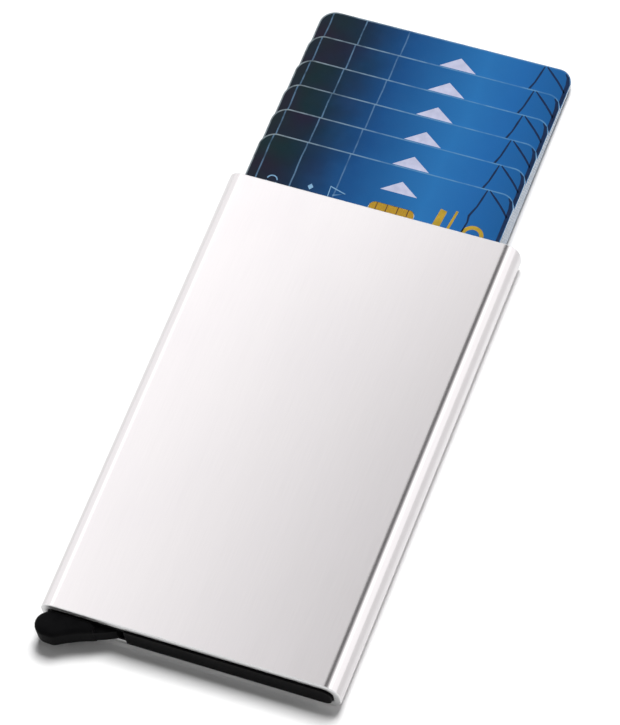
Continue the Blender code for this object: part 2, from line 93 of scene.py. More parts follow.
# Cards; the print's colours run over PRINT_RUN millimetres from the left edge, and NOISE_STEP sets each
# card's noises apart
CARD_WIDTH = 53.98 * MM
CARD_LENGTH = 85.6 * MM
CARD_CORNER_RADIUS = 3.18 * MM
CARD_RIM = 0.15 * MM
CARD_NUMBERS = range(1, 7)
CARD_CORNER_STEPS = 14
PRINT_RUN = 54.0
NOISE_STEP = 31.0 * MM
INK_SINK = 0.006 * MM
INK_HEIGHT = 0.006 * MM

# Pale lines down a card's front: millimetres right of its left edge, and strength
PALE_LINES = ((2.2, 0.55), (9.4, 0.6), (18.7, 0.5))

# Chip contact plate; the grooves' places are from the plate's centre
CHIP_CORNER_RADIUS = 1.2 * MM
CHIP_CORNER_STEPS = 8
CHIP_GROOVE_WIDTH = 0.2 * MM
CHIP_GROOVE_DEPTH = 0.06 * MM
CHIP_COLUMN_XS = (-3.28 * MM, -1.14 * MM, 1.14 * MM, 3.28 * MM)
CHIP_ROW_Y = 2.0 * MM
POCKET_MARGIN = 0.1 * MM
POCKET_SINK = 0.01 * MM

# Return spring, drawn round the lever's pivot; its heights are the frame's
WIRE_RADIUS = 0.18 * MM
COIL_RADIUS = 1.85 * MM
COIL_TURNS = 2
POINTS_PER_TURN = 40
COIL_PITCH = 0.42 * MM
COIL_LOW_Z = 4.45 * MM
ARM_REST_ANGLE = math.radians(8.5)
MOVING_LEG = 7.5 * MM
FIXED_LEG = 5.2 * MM

# The sharpest turns that are still shaded smooth, in degrees
SMOOTH_ANGLE = 35
CURVED_SMOOTH_ANGLE = 50
MOULDED_SMOOTH_ANGLE = 40

# Rounding of the moulded pieces
BASE_ROUNDING = 0.12 * MM
LEVER_ROUNDING = 0.15 * MM
RAIL_ROUNDING = 0.1 * MM

# Studio dome: angles in degrees from overhead towards the right, and radiances
GAP_LEFT = -6.0
GAP_LEFT_SOFTNESS = 20.0
GAP_RIGHT = 8.0
GAP_RIGHT_SOFTNESS = 34.0
GAP_LIGHT = 0.19
LEFT_BOX = 2.05
RIGHT_BOX = 2.1

# How the dome dims low down, by the angle from overhead, and towards the front, by a direction's y
FOOT_START = 30.0
FOOT_END = 52.0
FOOT_SHARE = 0.63
FRONT_START = -0.35
FRONT_END = -0.9
FRONT_SHARE = 0.7

# Share of the dome's light that matt surfaces see
MATT_SHARE = 0.12

# Key and fill lights
KEY_PLACE = (0.15, 1.06, 2.37)
KEY_SIZE = 0.95
KEY_RADIANCE = 28.0
FILL_PLACE = (2.1, 0.1, 1.2)
FILL_SIZE = 1.0
FILL_RADIANCE = 2.0

# Floor
FLOOR_REACH = 4.0
FLOOR_DROP = 0.02 * MM


# ---- Node graphs ----


class Graph:
    """Adds nodes to a tree one step at a time. Most methods give back an output socket."""

    def __init__(self, tree):
        self.tree = tree

    def node(self, kind, inputs=None, **settings):
        made = self.tree.nodes.new(kind)
        for name, value in settings.items():
            setattr(made, name, value)
        for key, value in (inputs or {}).items():
            self.feed(made.inputs[key], value)
        return made

    def feed(self, socket, value):
        if isinstance(value, bpy.types.NodeSocket):
            self.tree.links.new(value, socket)
        else:
            socket.default_value = value

    def math(self, operation, *values):
        inputs = dict(enumerate(values))
        return self.node("ShaderNodeMath", inputs, operation=operation).outputs[0]

    def place_in_mm(self, origin=(0, 0, 0)):
        """Object coordinates, counted in millimetres from origin."""
        place = self.node("ShaderNodeTexCoord").outputs["Object"]
        moved = self.node("ShaderNodeVectorMath", {0: place, 1: origin}, operation="SUBTRACT")
        return self.scaled(moved.outputs[0], 1 / MM)

    def stretched(self, vector, factors):
        inputs = {0: vector, 1: factors}
        return self.node("ShaderNodeVectorMath", inputs, operation="MULTIPLY").outputs[0]

    def axes(self, vector):
        return self.node("ShaderNodeSeparateXYZ", {0: vector}).outputs

    def noise(self, vector, scale=1.0, detail=2.0):
        inputs = {"Vector": vector, "Scale": scale, "Detail": detail}
        return self.node("ShaderNodeTexNoise", inputs).outputs["Fac"]

    def ramp(self, value, *stops):
        """stops are (place from 0 to 1, grey or colour)."""
        made = self.node("ShaderNodeValToRGB", {"Fac": value})
        elements = made.color_ramp.elements
        while len(elements) < len(stops):
            elements.new(1.0)
        for element, (place, colour) in zip(elements, stops):
            element.position = place
            element.color = rgba(colour)
        return made.outputs["Color"]

    def between(self, value, low, high, at_low=0.0, at_high=1.0):
        """A smooth step from at_low to at_high as value goes from low to high."""
        inputs = {0: value, 1: low, 2: high, 3: at_low, 4: at_high}
        made = self.node("ShaderNodeMapRange", inputs, interpolation_type="SMOOTHSTEP")
        return made.outputs[0]

    def mix(self, share, first, second):
        made = self.node("ShaderNodeMix", {"Factor": share}, data_type="RGBA")
        for index, colour in ((6, first), (7, second)):
            is_socket = isinstance(colour, bpy.types.NodeSocket)
            self.feed(made.inputs[index], colour if is_socket else rgba(colour))
        return made.outputs[2]

    def scaled(self, vector, factor):
        inputs = {0: vector, "Scale": factor}
        return self.node("ShaderNodeVectorMath", inputs, operation="SCALE").outputs[0]

    def bump(self, height, depth):
        inputs = {"Height": height, "Distance": depth, "Strength": 1.0}
        return self.node("ShaderNodeBump", inputs).outputs["Normal"]


def rgba(colour):
    if isinstance(colour, (int, float)):
        colour = (colour, colour, colour)
    return (*colour, 1.0)


def new_material(name, **constants):
    """A material with a Principled shader, whose plain values are set on its own sockets."""
    material = bpy.data.materials.new(name)
    material.use_nodes = True
    shader = material.node_tree.nodes["Principled BSDF"]
    for socket, value in constants.items():
        shader.inputs[socket.replace("_", " ").title().replace("Ior", "IOR")].default_value = value
    return material, Graph(material.node_tree), shader.inputs


# ---- Materials ----


def aluminium_face():
    """Satin anodised tube: a fine grain along it, smoother long edges, and sides darkened by painted shade.
    """
    material, g, shader = new_material("satin_aluminium", metallic=1.0)
    place = g.place_in_mm()
    fine = g.noise(g.stretched(place, (4.5, 0.12, 4.5)), 1.0, 3.0)
    streak = g.noise(g.stretched(place, (0.35, 0.012, 0.35)), 1.0, 2.0)
    haze = g.noise(place, 0.06, 3.0)
    across = g.math("ABSOLUTE", g.axes(place)["X"])
    smoother = g.between(across, POLISH_START, POLISH_END, 1.0, 0.5)
    # painted shade: the sides' tone is lowered so that their reflections come out darker
    side = g.between(across, PAINTED_SHADE_START, PAINTED_SHADE_END, 1.0, PAINTED_SIDE_SHADE)
    grain = g.math("MULTIPLY_ADD", fine, 0.05, g.math("MULTIPLY_ADD", streak, 0.02, 0.63))
    tone = g.math("MULTIPLY", grain, side)
    tint = g.mix(haze, (1.0, 0.962, 0.968), (1.0, 0.958, 0.980))
    g.feed(shader["Base Color"], g.scaled(tint, tone))
    grainy = g.math("MULTIPLY_ADD", fine, 0.10, g.math("MULTIPLY_ADD", haze, 0.05, 0.24))
    g.feed(shader["Roughness"], g.math("MULTIPLY", grainy, smoother))
    g.feed(shader["Normal"], g.bump(fine, 0.0015 * MM))
    return material


def aluminium_cut():
    """The cut and deburred ends of the tube, brighter and with cutter marks across them."""
    material, g, shader = new_material("cut_aluminium", metallic=1.0)
    place = g.place_in_mm()
    marks = g.noise(g.stretched(place, (2.0, 9.0, 9.0)), 1.0, 2.0)
    g.feed(shader["Base Color"], g.ramp(marks, (0.3, 0.60), (0.7, 0.72)))
    g.feed(shader["Roughness"], g.between(marks, 0.2, 0.8, 0.36, 0.5))
    g.feed(shader["Normal"], g.bump(marks, 0.002 * MM))
    return material


def black_plastic():
    """Moulded black with a fine spark-eroded texture."""
    material, g, shader = new_material("black_plastic", specular_ior_level=0.03)
    place = g.place_in_mm()
    texture = g.noise(place, 7.0, 3.0)
    patches = g.noise(place, 0.35, 2.0)
    dark, light = (0.0015, 0.0015, 0.0018), (0.004, 0.004, 0.0043)
    g.feed(shader["Base Color"], g.ramp(patches, (0.3, dark), (0.7, light)))
    uneven = g.math("MULTIPLY_ADD", patches, 0.1, 0.42)
    g.feed(shader["Roughness"], g.math("MULTIPLY_ADD", texture, 0.16, uneven))
    g.feed(shader["Normal"], g.bump(texture, 0.006 * MM))
    return material


def black_plastic_worn():
    """The same plastic along its edges, rubbed a little paler and smoother by fingers and pockets."""
    material, g, shader = new_material("black_plastic_worn", specular_ior_level=0.15)
    place = g.place_in_mm()
    rubbed = g.noise(place, 1.6, 4.0)
    g.feed(shader["Base Color"], g.ramp(rubbed, (0.35, 0.008), (0.75, 0.024)))
    g.feed(shader["Roughness"], g.between(rubbed, 0.3, 0.7, 0.44, 0.27))
    g.feed(shader["Normal"], g.bump(g.noise(place, 7.0, 2.0), 0.002 * MM))
    return material


def steel():
    """Bright drawn steel with fine marks."""
    material, g, shader = new_material("steel", metallic=1.0)
    place = g.place_in_mm()
    marks = g.noise(g.stretched(place, (1.5, 6.0, 6.0)), 1.0, 3.0)
    g.feed(shader["Base Color"], g.ramp(marks, (0.3, (0.5, 0.5, 0.52)), (0.7, (0.66, 0.66, 0.67))))
    g.feed(shader["Roughness"], g.between(marks, 0.2, 0.8, 0.2, 0.38))
    g.feed(shader["Normal"], g.bump(marks, 0.002 * MM))
    return material


def chip_gold():
    """The gilt contacts, with a fine grain."""
    material, g, shader = new_material("chip_gold", metallic=1.0)
    place = g.place_in_mm()
    fine = g.noise(g.stretched(place, (6.0, 1.0, 6.0)), 1.0, 3.0)
    g.feed(shader["Base Color"], g.ramp(fine, (0.3, (0.32, 0.185, 0.020)), (0.7, (0.43, 0.262, 0.034))))
    g.feed(shader["Roughness"], g.between(fine, 0.2, 0.8, 0.26, 0.42))
    g.feed(shader["Normal"], g.bump(fine, 0.003 * MM))
    return material


def chip_gap():
    """The brown board at the bottom of the grooves."""
    material, g, shader = new_material("chip_gap")
    speck = g.noise(g.place_in_mm(), 9.0, 2.0)
    g.feed(shader["Base Color"], g.ramp(speck, (0.3, (0.05, 0.022, 0.008)), (0.7, (0.09, 0.04, 0.014))))
    g.feed(shader["Roughness"], g.between(speck, 0.2, 0.8, 0.5, 0.75))
    return material


def card_place(g, number, corner):
    """Millimetres right of and below the card's top left corner, and a place for its noises."""
    place = g.place_in_mm((*corner, 0))
    axes = g.axes(place)
    shifted = g.place_in_mm((*corner, number * NOISE_STEP))
    return axes["X"], g.math("MULTIPLY", axes["Y"], -1.0), shifted


def print_colour(g, u, place):
    """The printed ground: near black at the card's left edge, through navy, to a clear blue."""
    waver = g.math("MULTIPLY_ADD", g.noise(place, 0.11, 2.0), 0.06, -0.03)
    along = g.math("ADD", g.math("DIVIDE", u, PRINT_RUN), waver)
    ground = g.ramp(
        along,
        (0.00, (0.008, 0.012, 0.016)),
        (0.07, (0.004, 0.010, 0.020)),
        (0.15, (0.003, 0.013, 0.033)),
        (0.26, (0.006, 0.033, 0.095)),
        (0.38, (0.008, 0.056, 0.175)),
        (0.68, (0.019, 0.128, 0.337)),
        (0.83, (0.014, 0.102, 0.300)),
        (1.00, (0.010, 0.077, 0.226)),
    )
    green, purple = (0.004, 0.017, 0.016), (0.013, 0.006, 0.018)
    tint = g.ramp(g.noise(place, 0.09, 1.0), (0.35, green), (0.65, purple))
    tinted = g.mix(g.between(u, 4.0, 20.0, 0.6, 0.0), ground, tint)
    cloud = g.between(g.noise(place, 0.22, 3.0), 0.35, 0.75, 0.0, 0.12)
    cloud = g.math("MULTIPLY", cloud, g.between(u, 5.0, 18.0, 0.15, 1.0))
    return g.mix(cloud, tinted, (0.016, 0.095, 0.250))


def edge_distance(g, u, v):
    """Millimetres in from the card's rounded outline, up to its corner radius."""
    radius = CARD_CORNER_RADIUS / MM
    beyond = []
    for along, length in ((u, CARD_WIDTH / MM), (v, CARD_LENGTH / MM)):
        from_middle = g.math("ABSOLUTE", g.math("SUBTRACT", along, length / 2))
        beyond.append(g.math("MAXIMUM", g.math("SUBTRACT", from_middle, length / 2 - radius), 0.0))
    joined = g.node("ShaderNodeCombineXYZ", {0: beyond[0], 1: beyond[1]}).outputs[0]
    length = g.node("ShaderNodeVectorMath", {0: joined}, operation="LENGTH").outputs["Value"]
    return g.math("SUBTRACT", radius, length)


def core_and_highlight_colour(g, u):
    """Pale core on the rim, and a painted edge highlight on the front; greyer by the print's dark end."""
    along = g.math("DIVIDE", u, PRINT_RUN)
    return g.ramp(along, (0.0, (0.20, 0.24, 0.26)), (0.6, (0.085, 0.21, 0.37)))


def card_front(number, corner):
    """Printed front under a laminate: three fine pale lines, and a painted highlight round its edge."""
    material, g, shader = new_material(f"card_{number}_front", ior=1.5, specular_ior_level=0.1)
    u, v, place = card_place(g, number, corner)
    colour = print_colour(g, u, place)
    broken = g.between(g.noise(g.stretched(place, (0.3, 0.5, 0.3)), 1.0, 3.0), 0.3, 0.62, 0.35, 0.95)
    waver = g.math("MULTIPLY_ADD", g.noise(place, 0.25, 1.0), 0.3, -0.15)
    wavy_u = g.math("ADD", u, waver)
    for line_u, strength in PALE_LINES:
        off_line = g.math("ABSOLUTE", g.math("SUBTRACT", wavy_u, line_u))
        line = g.math("MULTIPLY", g.between(off_line, 0.08, 0.2, strength, 0.0), broken)
        colour = g.mix(line, colour, (0.13, 0.24, 0.38))
    # painted highlight: a pale band along the card's rounded outline, for the light its edge catches
    margin = g.math("MULTIPLY", g.between(edge_distance(g, u, v), 0.2, 0.34, 1.0, 0.0), broken)
    g.feed(shader["Base Color"], g.mix(margin, colour, core_and_highlight_colour(g, u)))
    g.feed(shader["Roughness"], g.between(g.noise(place, 0.5, 3.0), 0.3, 0.7, 0.34, 0.46))
    g.feed(shader["Normal"], g.bump(g.noise(place, 3.0, 2.0), 0.001 * MM))
    return material


def card_rim(number, corner):
    """The rounded rim: pale core through the worn print, its paleness partly a painted edge highlight."""
    material, g, shader = new_material(f"card_{number}_rim", ior=1.5, specular_ior_level=0.2)
    u, _, place = card_place(g, number, corner)
    worn = g.between(g.noise(g.stretched(place, (0.25, 0.4, 0.25)), 1.0, 4.0), 0.3, 0.65, 0.35, 0.95)
    # the rim's pale colour is partly the core showing through wear and partly a painted highlight
    g.feed(shader["Base Color"], g.mix(worn, print_colour(g, u, place), core_and_highlight_colour(g, u)))
    g.feed(shader["Roughness"], g.between(worn, 0.2, 0.8, 0.3, 0.5))
    return material


def card_back(number, corner):
    """The plain back, a greyer and flatter blue."""
    material, g, shader = new_material(f"card_{number}_back", ior=1.5, specular_ior_level=0.2)
    _, _, place = card_place(g, number, corner)
    cloud = g.noise(place, 0.12, 3.0)
    g.feed(shader["Base Color"], g.ramp(cloud, (0.3, (0.030, 0.075, 0.160)), (0.7, (0.045, 0.110, 0.230))))
    g.feed(shader["Roughness"], g.between(g.noise(place, 0.5, 3.0), 0.3, 0.7, 0.34, 0.46))
    g.feed(shader["Normal"], g.bump(g.noise(place, 3.0, 2.0), 0.001 * MM))
    return material


def card_core():
    """The white cut edge, with the seams of its laminated sheets."""
    material, g, shader = new_material("card_core")
    place = g.place_in_mm()
    rough_cut = g.noise(g.stretched(place, (0.8, 0.8, 12.0)), 1.0, 3.0)
    g.feed(shader["Base Color"], g.ramp(rough_cut, (0.3, (0.62, 0.64, 0.66)), (0.7, (0.84, 0.85, 0.86))))
    g.feed(shader["Roughness"], g.between(rough_cut, 0.2, 0.8, 0.42, 0.6))
    g.feed(shader["Normal"], g.bump(rough_cut, 0.005 * MM))
    return material


def ink(name, dark, light, metallic=0.0, rough=(0.3, 0.45)):
    """A printed or foiled mark whose tone changes a little from place to place."""
    material, g, shader = new_material(name, metallic=metallic, specular_ior_level=0.15)
    place = g.place_in_mm()
    patch = g.noise(place, 0.7, 4.0)
    g.feed(shader["Base Color"], g.ramp(patch, (0.3, dark), (0.7, light)))
    g.feed(shader["Roughness"], g.between(patch, 0.3, 0.7, *rough))
    return material


# ---- Shapes ----


def arc(centre, radius, start, end, steps):
    """Points on a circle from one angle to another, both ends included."""
    return [
        (
            centre[0] + radius * math.cos(start + (end - start) * i / steps),
            centre[1] + radius * math.sin(start + (end - start) * i / steps),
        )
        for i in range(steps + 1)
    ]


def rounded_rectangle(low, high, radius, steps):
    """The counter-clockwise outline between two corners, with the same number of steps in each arc."""
    points = []
    left, right = low[0] + radius, high[0] - radius
    bottom, top = low[1] + radius, high[1] - radius
    centres = ((right, top), (left, top), (left, bottom), (right, bottom))
    for quarter, centre in enumerate(centres):
        start = quarter * math.pi / 2
        points += arc(centre, radius, start, start + math.pi / 2, steps)
    return points


def rectangle(left, bottom, right, top):
    return [(left, bottom), (right, bottom), (right, top), (left, top)]


def prism(bm, outline, low_z, high_z, material_index=0):
    """Adds to bm the closed solid of a counter-clockwise outline between two heights."""
    lower = [bm.verts.new((x, y, low_z)) for x, y in outline]
    upper = [bm.verts.new((x, y, high_z)) for x, y in outline]
    faces = [bm.faces.new(upper), bm.faces.new(lower[::-1])]
    for i, corner in enumerate(lower):
        faces.append(bm.faces.new((lower[i - 1], corner, upper[i], upper[i - 1])))
    for face in faces:
        face.material_index = material_index
    return faces


def piece(name, bm, materials, smooth_angle=SMOOTH_ANGLE):
    """A new object from bm, shaded smooth across edges flatter than smooth_angle."""
    mesh = bpy.data.meshes.new(name)
    bm.to_mesh(mesh)
    bm.free()
    for material in materials:
        mesh.materials.append(material)
    mesh.shade_smooth()
    mesh.set_sharp_from_angle(angle=math.radians(smooth_angle))
    obj = bpy.data.objects.new(name, mesh)
    bpy.context.scene.collection.objects.link(obj)
    return obj


def cut(obj, bm, smooth_angle=SMOOTH_ANGLE):
    """Cuts the shape of bm out of obj for good. Its faces keep their material numbers."""
    mesh = bpy.data.meshes.new(obj.name + "_cutter")
    bm.to_mesh(mesh)
    bm.free()
    for material in obj.data.materials:
        mesh.materials.append(material)
    cutter = bpy.data.objects.new(mesh.name, mesh)
    bpy.context.scene.collection.objects.link(cutter)
    modifier = obj.modifiers.new("cut", "BOOLEAN")
    modifier.operation = "DIFFERENCE"
    modifier.solver = "EXACT"
    modifier.object = cutter
    graph = bpy.context.evaluated_depsgraph_get()
    result = bpy.data.meshes.new_from_object(obj.evaluated_get(graph), depsgraph=graph)
    obj.modifiers.clear()
    obj.data = result
    result.set_sharp_from_angle(angle=math.radians(smooth_angle))
    bpy.data.objects.remove(cutter)


def stand_for(obj, body, slot, *nodes):
    """Makes obj ride on a body in place of CAD nodes."""
    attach(obj, body)
    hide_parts(*nodes)


# ---- Case ----


def make_sleeve(materials):
    """The tube as a loop of rings: round the mouth's lip, down the inside, round the lower lip, and back."""
    low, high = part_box("case_sleeve")
    inner_low = (low.x + WALL, low.z + WALL)
    inner_high = (high.x - WALL, high.z - WALL)

    def ring(inset, y, outside):
        """A profile drawn in by inset, or let out on the inner side."""
        if outside:
            corner_low = (low.x + inset, low.z + inset)
            corner_high = (high.x - inset, high.z - inset)
            radius = CASE_EDGE_RADIUS - inset
        else:
            corner_low = (inner_low[0] - inset, inner_low[1] - inset)
            corner_high = (inner_high[0] + inset, inner_high[1] + inset)
            radius = CAVITY_EDGE_RADIUS + inset
        profile = rounded_rectangle(corner_low, corner_high, radius, PROFILE_STEPS)
        return [(x, y, z) for x, z in profile]

    def lip(end_y, inwards):
        """The rounded lip at one end, from the outside to the inside."""
        rings = []
        for outside in (True, False):
            steps = range(LIP_STEPS + 1)
            for step in steps if outside else reversed(steps):
                turn = step / LIP_STEPS * math.pi / 2
                inset = LIP_ROUNDING * (1 - math.cos(turn))
                depth = LIP_ROUNDING * (1 - math.sin(turn))
                rings.append(ring(inset, end_y + inwards * depth, outside))
        return rings

    rings = lip(high.y, -1) + lip(low.y, 1)[::-1]
    ring_count = len(rings)
    bm = bmesh.new()
    loops = [[bm.verts.new(point) for point in points] for points in rings]
    outer_wall, inner_wall = ring_count - 1, ring_count // 2 - 1
    for index, loop in enumerate(loops):
        following = loops[(index + 1) % ring_count]
        for i, corner in enumerate(loop):
            face = bm.faces.new((corner, loop[i - 1], following[i - 1], following[i]))
            face.material_index = 0 if index in (outer_wall, inner_wall) else 1
    bmesh.ops.recalc_face_normals(bm, faces=bm.faces)
    sleeve = piece("sleeve", bm, materials, CURVED_SMOOTH_ANGLE)
    stand_for(sleeve, "case", "case_aluminium", "case_sleeve")


def make_moulded(name, node, body, materials, width):
    """A copy of a CAD node with its flat faces merged, and with rounded edges in the worn material."""
    bm = bmesh.new()
    bm.from_mesh(frame["nodes"][node].data)
    bmesh.ops.remove_doubles(bm, verts=bm.verts, dist=0.001 * MM)
    bmesh.ops.dissolve_limit(bm, angle_limit=math.radians(0.5), verts=bm.verts, edges=bm.edges)
    for face in bm.faces:
        face.material_index = 0
    obj = piece(name, bm, materials, MOULDED_SMOOTH_ANGLE)
    bevel = obj.modifiers.new("rounding", "BEVEL")
    bevel.width = width
    bevel.segments = 3
    bevel.limit_method = "ANGLE"
    bevel.angle_limit = math.radians(MOULDED_SMOOTH_ANGLE)
    bevel.material = 1
    stand_for(obj, body, "black_plastic", node)


# ---- Return spring ----


def return_spring_line():
    """The wire's middle line round the pivot: a leg along the lever's arm, the coil, and a fixed leg."""
    start = ARM_REST_ANGLE + math.pi / 2
    turned = 2 * math.pi * COIL_TURNS - ARM_REST_ANGLE
    count = COIL_TURNS * POINTS_PER_TURN
    points = []
    for i in range(count + 1):
        angle = start + turned * i / count
        z = COIL_LOW_Z + COIL_TURNS * COIL_PITCH * i / count
        points.append(Vector((COIL_RADIUS * math.cos(angle), COIL_RADIUS * math.sin(angle), z)))
    along_arm = Vector((math.cos(ARM_REST_ANGLE), math.sin(ARM_REST_ANGLE), 0))
    return [points[0] + along_arm * MOVING_LEG] + points + [points[-1] - Vector((FIXED_LEG, 0, 0))]


def make_return_spring(material):
    """Two turns of wire round the lever's pivot, drawn at rest: one leg on the lever, one on the base."""
    pivot = next(Vector(j["pos_m"]) for j in frame["joints"] if j["name"] == "lever_pivot")
    points = return_spring_line()
    curve = bpy.data.curves.new("return_spring", "CURVE")
    curve.dimensions = "3D"
    curve.bevel_depth = WIRE_RADIUS
    curve.bevel_resolution = 3
    curve.use_fill_caps = True
    spline = curve.splines.new("POLY")
    spline.points.add(len(points) - 1)
    for point, where in zip(spline.points, points):
        point.co = (where.x + pivot.x, where.y + pivot.y, where.z, 1.0)
    drawn = bpy.data.objects.new("return_spring_line", curve)
    bpy.context.scene.collection.objects.link(drawn)
    graph = bpy.context.evaluated_depsgraph_get()
    mesh = bpy.data.meshes.new_from_object(drawn.evaluated_get(graph), depsgraph=graph)
    bpy.data.objects.remove(drawn)
    mesh.name = "return_spring"
    mesh.materials.clear()
    mesh.materials.append(material)
    mesh.shade_smooth()
    spring = bpy.data.objects.new("return_spring", mesh)
    bpy.context.scene.collection.objects.link(spring)
    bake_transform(spring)
    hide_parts("lever_spring")


# ---- Cards ----


def stroke(points, widths):
    """The outline of a line drawn through points, with a width at each of them."""
    left, right = [], []
    for i, point in enumerate(points):
        before, after = Vector(points[max(i - 1, 0)]), Vector(points[min(i + 1, len(points) - 1)])
        along = (after - before).normalized()
        side = Vector((-along.y, along.x)) * widths[i] / 2
        left.append(Vector(point) + side)
        right.append(Vector(point) - side)
    return [tuple(p) for p in right + left[::-1]]


def split_ring(centre, outer, inner, gap, steps=14):
    """A ring in two halves, with a gap at each side, given as half its angle."""
    halves = []
    for turn in (0.0, math.pi):
        start, end = turn + gap, turn + math.pi - gap
        halves.append(arc(centre, outer, start, end, steps) + arc(centre, inner, end, start, steps))
    return halves


WHITE_INK, DARK_INK, GOLD_FOIL, PALE_INK, STRIPE, PANEL = range(6)


def front_marks():
    """The marks on a card's front as (ink, outline), in millimetres right of and below its top left."""
    marks = [(WHITE_INK, [(27.1, 5.95), (30.85, 3.25), (34.9, 5.95)])]
    left_leg = [(47.7, 0.25), (47.35, 2.2), (46.95, 4.3), (46.1, 6.7), (46.3, 8.2)]
    left_leg += [(45.2, 15.5), (46.4, 25.0), (45.0, 38.0)]
    right_leg = [(48.2, 0.25), (49.7, 1.5), (51.2, 2.8), (52.4, 3.95), (53.4, 5.1)]
    edge = [(52.3, 0.75), (53.0, 1.5), (53.45, 3.0), (53.5, 6.0), (53.4, 16.0), (52.9, 30.0)]
    marks.append((DARK_INK, stroke(left_leg, (0.25, 0.42, 0.36, 0.5, 0.36, 0.4, 0.3, 0.12))))
    marks.append((DARK_INK, stroke(right_leg, (0.25, 0.42, 0.4, 0.42, 0.3))))
    marks.append((DARK_INK, stroke(edge, (0.2, 0.6, 0.85, 0.8, 0.6, 0.15))))
    marks.append((GOLD_FOIL, [(40.3, 6.8), (41.7, 7.1), (41.2, 12.4), (39.6, 12.0)]))
    marks.append((GOLD_FOIL, [(43.4, 6.4), (43.9, 6.5), (43.2, 12.2), (42.6, 12.0)]))
    marks += [(GOLD_FOIL, half) for half in split_ring((48.2, 11.0), 2.4, 1.55, 0.12)]
    marks += [(PALE_INK, half) for half in split_ring((5.6, 10.3), 1.2, 0.95, 0.25)]
    marks.append((PALE_INK, [(13.6, 8.8), (14.2, 9.5), (13.6, 10.2), (13.0, 9.5)]))
    pennant = [(17.7, 11.4), (17.5, 8.3), (20.9, 9.2), (18.5, 10.1)]
    marks.append((PALE_INK, stroke(pennant, (0.2, 0.3, 0.3, 0.2))))
    return marks


def back_marks(width, length):
    """A dark stripe along one side of the back and a pale panel beside it."""
    stripe = rectangle(width - 16.7, 0.0, width - 4.0, length)
    panel = rectangle(width - 31.0, 10.0, width - 21.0, 66.0)
    return [(STRIPE, stripe), (PANEL, panel)]


def counter_clockwise(outline):
    following = outline[1:] + outline[:1]
    area = sum(x * next_y - next_x * y for (x, y), (next_x, next_y) in zip(outline, following))
    return outline if area > 0 else outline[::-1]


def make_card(number, core, inks, chip_materials):
    """A card with its rounded rims, its pocket for the chip, its marks and its chip."""
    body, node, chip_node = f"card_{number}", f"card_{number}", f"chip_{number}"
    low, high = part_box(node)
    left_top = (low.x, high.y)
    outline = rounded_rectangle(low.xy, high.xy, CARD_CORNER_RADIUS, CARD_CORNER_STEPS)
    bm = bmesh.new()
    faces = prism(bm, outline, low.z, high.z, 2)
    faces[0].material_index = 0
    faces[1].material_index = 1
    rim_edges = list(faces[0].edges) + list(faces[1].edges)
    bmesh.ops.bevel(
        bm, geom=rim_edges, offset=CARD_RIM, segments=2, profile=0.5, affect="EDGES", material=3
    )
    materials = [
        card_front(number, left_top),
        card_back(number, left_top),
        core,
        card_rim(number, left_top),
    ]
    card = piece(f"bank_card_{number}", bm, materials, CURVED_SMOOTH_ANGLE)
    chip_low, chip_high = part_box(chip_node)
    pocket = bmesh.new()
    margin = Vector((POCKET_MARGIN, POCKET_MARGIN))
    pocket_radius = CHIP_CORNER_RADIUS + POCKET_MARGIN
    pocket_outline = rounded_rectangle(
        chip_low.xy - margin, chip_high.xy + margin, pocket_radius, CHIP_CORNER_STEPS
    )
    prism(pocket, pocket_outline, chip_low.z - POCKET_SINK, high.z + MM, 2)
    cut(card, pocket, CURVED_SMOOTH_ANGLE)
    stand_for(card, body, "card_print", node)
    make_marks(number, low, high, inks, body)
    make_chip(number, chip_low, chip_high, chip_materials, body, chip_node)


def make_marks(number, low, high, inks, body):
    """The printed and foiled marks, each a very thin solid that is half sunk in the card."""
    bm = bmesh.new()
    for ink_index, outline in front_marks():
        points = [(low.x + u * MM, high.y - v * MM) for u, v in outline]
        prism(bm, counter_clockwise(points), high.z - INK_SINK, high.z + INK_HEIGHT, ink_index)
    width, length = (high.x - low.x) / MM, (high.y - low.y) / MM
    for ink_index, outline in back_marks(width, length):
        points = [(low.x + u * MM, high.y - v * MM) for u, v in outline]
        prism(bm, counter_clockwise(points), low.z - INK_HEIGHT, low.z + INK_SINK, ink_index)
    bmesh.ops.recalc_face_normals(bm, faces=bm.faces)
    marks = piece(f"card_{number}_marks", bm, inks)
    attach(marks, body)


def make_chip(number, low, high, materials, body, node):
    """The contact plate, cut by grooves into its separate contacts."""
    centre = (low + high) / 2
    bm = bmesh.new()
    outline = rounded_rectangle(low.xy, high.xy, CHIP_CORNER_RADIUS, CHIP_CORNER_STEPS)
    prism(bm, outline, low.z, high.z)
    chip = piece(f"contact_plate_{number}", bm, materials)
    half = CHIP_GROOVE_WIDTH / 2
    grooves = bmesh.new()
    rows = [centre.y - CHIP_ROW_Y, centre.y + CHIP_ROW_Y]
    bottom, top = high.z - CHIP_GROOVE_DEPTH, high.z + MM
    for x in CHIP_COLUMN_XS:
        for row, edge in zip(rows, (low.y - MM, high.y + MM)):
            start, end = sorted((row, edge))
            groove = rectangle(centre.x + x - half, start, centre.x + x + half, end)
            prism(grooves, groove, bottom, top, 1)
    cut(chip, grooves)
    across = bmesh.new()
    for row in rows:
        prism(across, rectangle(low.x - MM, row - half, high.x + MM, row + half), bottom, top, 1)
    cut(chip, across)
    stand_for(chip, body, "chip_gold", node)


# ---- Stage ----


def make_floor():
    """A pale floor just under the case, with faint patches."""
    bm = bmesh.new()
    bmesh.ops.create_grid(bm, x_segments=1, y_segments=1, size=FLOOR_REACH)
    material, g, shader = new_material("pale_floor", roughness=0.8)
    patch = g.noise(g.node("ShaderNodeTexCoord").outputs["Object"], 3.0, 2.0)
    g.feed(shader["Base Color"], g.ramp(patch, (0.3, 0.90), (0.7, 0.92)))
    floor = piece("floor", bm, [material])
    floor.location.z = -FLOOR_DROP


